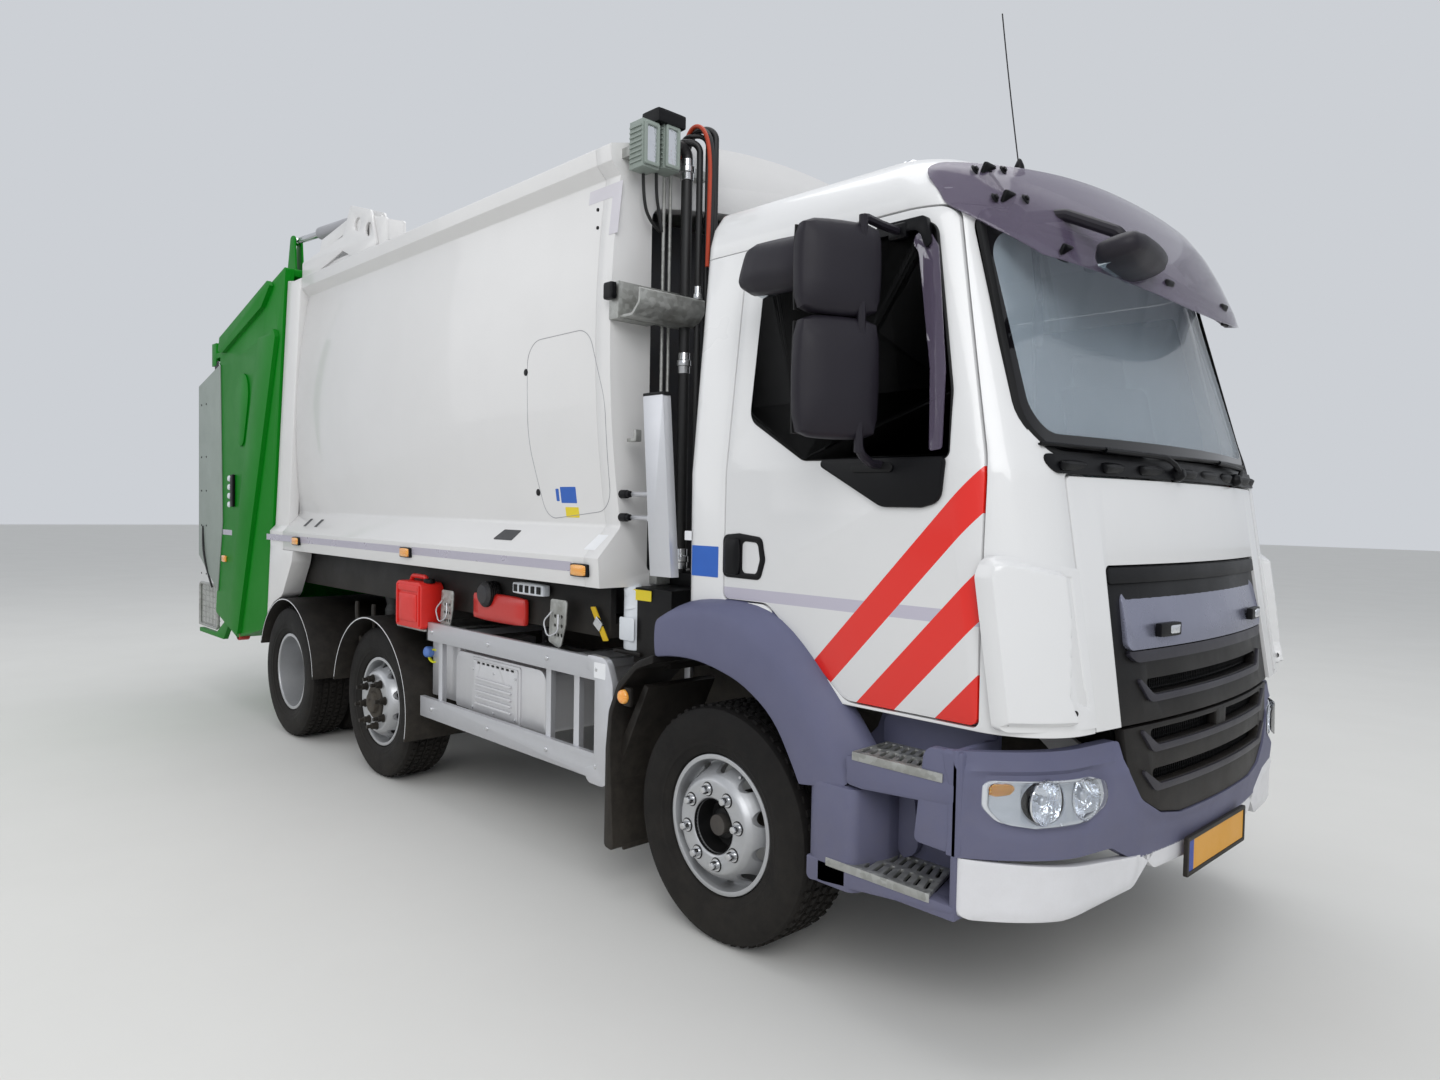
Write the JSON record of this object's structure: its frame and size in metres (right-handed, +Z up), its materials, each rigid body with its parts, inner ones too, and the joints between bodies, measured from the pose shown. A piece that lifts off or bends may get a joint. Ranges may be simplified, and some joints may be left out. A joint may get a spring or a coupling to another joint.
{
  "type": "garbage truck",
  "caption": "Rear-loading refuse lorry with a tilting cab, a bulged load body and a top-hinged tailgate that carries the bin lift.",
  "frame": {"origin": "on the ground under the middle of the lorry's length and width", "axes": "+X is forward, +Y is the lorry's left and +Z is up"},
  "size_m": [7.7769, 2.7676, 3.505],
  "materials": {
    "white_paint": "gloss",
    "green_paint": "gloss",
    "chassis_paint": "satin",
    "grey_plastic": "matte",
    "black_plastic": "matte",
    "glass": "gloss",
    "smoked_plastic": "gloss",
    "lamp_plastic": "gloss",
    "galvanised_steel": "satin",
    "aluminium": "satin",
    "wheel_paint": "satin",
    "tyre": "matte",
    "red_plastic": "satin",
    "seat_fabric": "matte",
    "cast_iron": "matte",
    "chrome": "gloss"
  },
  "bodies": {
    "chassis": {"chassis_frame": "chassis_paint", "front_axle": "chassis_paint", "middle_axle": "chassis_paint", "drive_axle": "chassis_paint", "engine_block": "cast_iron", "front_bumper": "grey_plastic", "headlamps": "lamp_plastic", "bumper_apron": "white_paint", "cab_steps": "grey_plastic", "mudguards": "black_plastic", "side_guards": "aluminium", "exhaust_box": "aluminium", "fuel_tank": "aluminium", "canisters": "red_plastic", "body_sides": "white_paint", "body_roof": "white_paint", "body_front_frame": "white_paint", "body_rear_frame": "white_paint", "body_floor": "white_paint"},
    "ejector": {"ejector_plate": "chassis_paint"},
    "cab": {"cab_frame": "white_paint", "cab_roof": "white_paint", "windscreen": "glass", "corner_vanes": "white_paint", "wheel_arches": "grey_plastic", "sun_visor": "smoked_plastic", "dashboard": "black_plastic", "seats": "seat_fabric"},
    "hood": {"front_hood": "white_paint", "upper_grille": "black_plastic"},
    "tailgate": {"tailgate_cheeks": "green_paint", "tailgate_cover": "green_paint", "hopper_trough": "green_paint", "side_screens": "galvanised_steel"},
    "packer": {"packer_plate": "green_paint"},
    "lift_barrels": {"lift_barrels": "chassis_paint"},
    "lift_rods": {"lift_rods": "chrome"},
    "bin_lift": {"bin_lift": "galvanised_steel"},
    "door_left": {"door_left": "white_paint", "door_glass_left": "glass", "mirror_left": "black_plastic"},
    "knuckle_left": {"knuckle_left": "cast_iron"},
    "footboard_left": {"footboard_left": "galvanised_steel"},
    "wheel_front_left": {"tyre_front_left": "tyre", "rim_front_left": "wheel_paint"},
    "wheel_middle_left": {"tyre_middle_left": "tyre", "rim_middle_left": "wheel_paint"},
    "wheel_rear_left": {"tyre_rear_left": "tyre", "rim_rear_left": "wheel_paint"},
    "door_right": {"door_right": "white_paint", "door_glass_right": "glass", "mirror_right": "black_plastic"},
    "knuckle_right": {"knuckle_right": "cast_iron"},
    "footboard_right": {"footboard_right": "galvanised_steel"},
    "wheel_front_right": {"tyre_front_right": "tyre", "rim_front_right": "wheel_paint"},
    "wheel_middle_right": {"tyre_middle_right": "tyre", "rim_middle_right": "wheel_paint"},
    "wheel_rear_right": {"tyre_rear_right": "tyre", "rim_rear_right": "wheel_paint"}
  },
  "joints": [
    {"name": "cab_tilt", "type": "hinge", "parent": "chassis", "child": "cab", "pos_m": [3.71, 0, 0.7], "axis": [0, 1, 0], "range_deg": [0, 50]},
    {"name": "hood_hinge", "type": "hinge", "parent": "cab", "child": "hood", "pos_m": [3.772, 0, 1.75], "axis": [0, -1, 0], "range_deg": [0, 75]},
    {"name": "ejector_slide", "type": "slide", "parent": "chassis", "child": "ejector", "axis": [-1, 0, 0], "range_m": [0, 2.9]},
    {"name": "tailgate_hinge", "type": "hinge", "parent": "chassis", "child": "tailgate", "pos_m": [-1.89, 0, 3.33], "axis": [0, 1, 0], "range_deg": [0, 80]},
    {"name": "packer_hinge", "type": "hinge", "parent": "tailgate", "child": "packer", "pos_m": [-2.74, 0, 2.045], "axis": [0, 1, 0], "range_deg": [0, 50]},
    {"name": "barrel_hinge", "type": "hinge", "parent": "chassis", "child": "lift_barrels", "pos_m": [-0.89, 0, 3.39], "axis": [0, 1, 0], "range_deg": [0, 5]},
    {"name": "rod_slide", "type": "slide", "parent": "lift_barrels", "child": "lift_rods", "axis": [0.9976, 0, -0.0688], "range_m": [0, 0.28]},
    {"name": "bin_lift_hinge", "type": "hinge", "parent": "tailgate", "child": "bin_lift", "pos_m": [-3.42, 0, 1.56], "axis": [0, 1, 0], "range_deg": [0, 130]},
    {"name": "door_left_hinge", "type": "hinge", "parent": "cab", "child": "door_left", "pos_m": [3.57, 1.072, 1.6], "axis": [0, 0, -1], "range_deg": [0, 70]},
    {"name": "steer_left", "type": "hinge", "parent": "chassis", "child": "knuckle_left", "pos_m": [2.51, 0.865, 0.445], "axis": [0, 0, 1], "range_deg": [-38, 38]},
    {"name": "footboard_left_hinge", "type": "hinge", "parent": "tailgate", "child": "footboard_left", "pos_m": [-3.635, 1.125, 0.56], "axis": [1, 0, 0], "range_deg": [0, 90]},
    {"name": "wheel_front_left_spin", "type": "hinge", "parent": "knuckle_left", "child": "wheel_front_left", "pos_m": [2.51, 0.97, 0.445], "axis": [0, 1, 0], "continuous": true},
    {"name": "wheel_middle_left_spin", "type": "hinge", "parent": "chassis", "child": "wheel_middle_left", "pos_m": [-0.38, 0.98, 0.445], "axis": [0, 1, 0], "continuous": true},
    {"name": "wheel_rear_left_spin", "type": "hinge", "parent": "chassis", "child": "wheel_rear_left", "pos_m": [-1.71, 0.98, 0.445], "axis": [0, 1, 0], "continuous": true},
    {"name": "door_right_hinge", "type": "hinge", "parent": "cab", "child": "door_right", "pos_m": [3.57, -1.072, 1.6], "axis": [0, 0, 1], "range_deg": [0, 70]},
    {"name": "steer_right", "type": "hinge", "parent": "chassis", "child": "knuckle_right", "pos_m": [2.51, -0.865, 0.445], "axis": [0, 0, 1], "range_deg": [-38, 38]},
    {"name": "footboard_right_hinge", "type": "hinge", "parent": "tailgate", "child": "footboard_right", "pos_m": [-3.635, -1.125, 0.56], "axis": [-1, 0, 0], "range_deg": [0, 90]},
    {"name": "wheel_front_right_spin", "type": "hinge", "parent": "knuckle_right", "child": "wheel_front_right", "pos_m": [2.51, -0.97, 0.445], "axis": [0, 1, 0], "continuous": true},
    {"name": "wheel_middle_right_spin", "type": "hinge", "parent": "chassis", "child": "wheel_middle_right", "pos_m": [-0.38, -0.98, 0.445], "axis": [0, 1, 0], "continuous": true},
    {"name": "wheel_rear_right_spin", "type": "hinge", "parent": "chassis", "child": "wheel_rear_right", "pos_m": [-1.71, -0.98, 0.445], "axis": [0, 1, 0], "continuous": true}
  ],
  "couplings": [
    {"joint": "steer_right", "follows": "steer_left", "ratio": 1},
    {"joint": "barrel_hinge", "follows": "tailgate_hinge", "ratio": 0.05},
    {"joint": "rod_slide", "follows": "tailgate_hinge", "m_per_rad": 0.19}
  ]
}
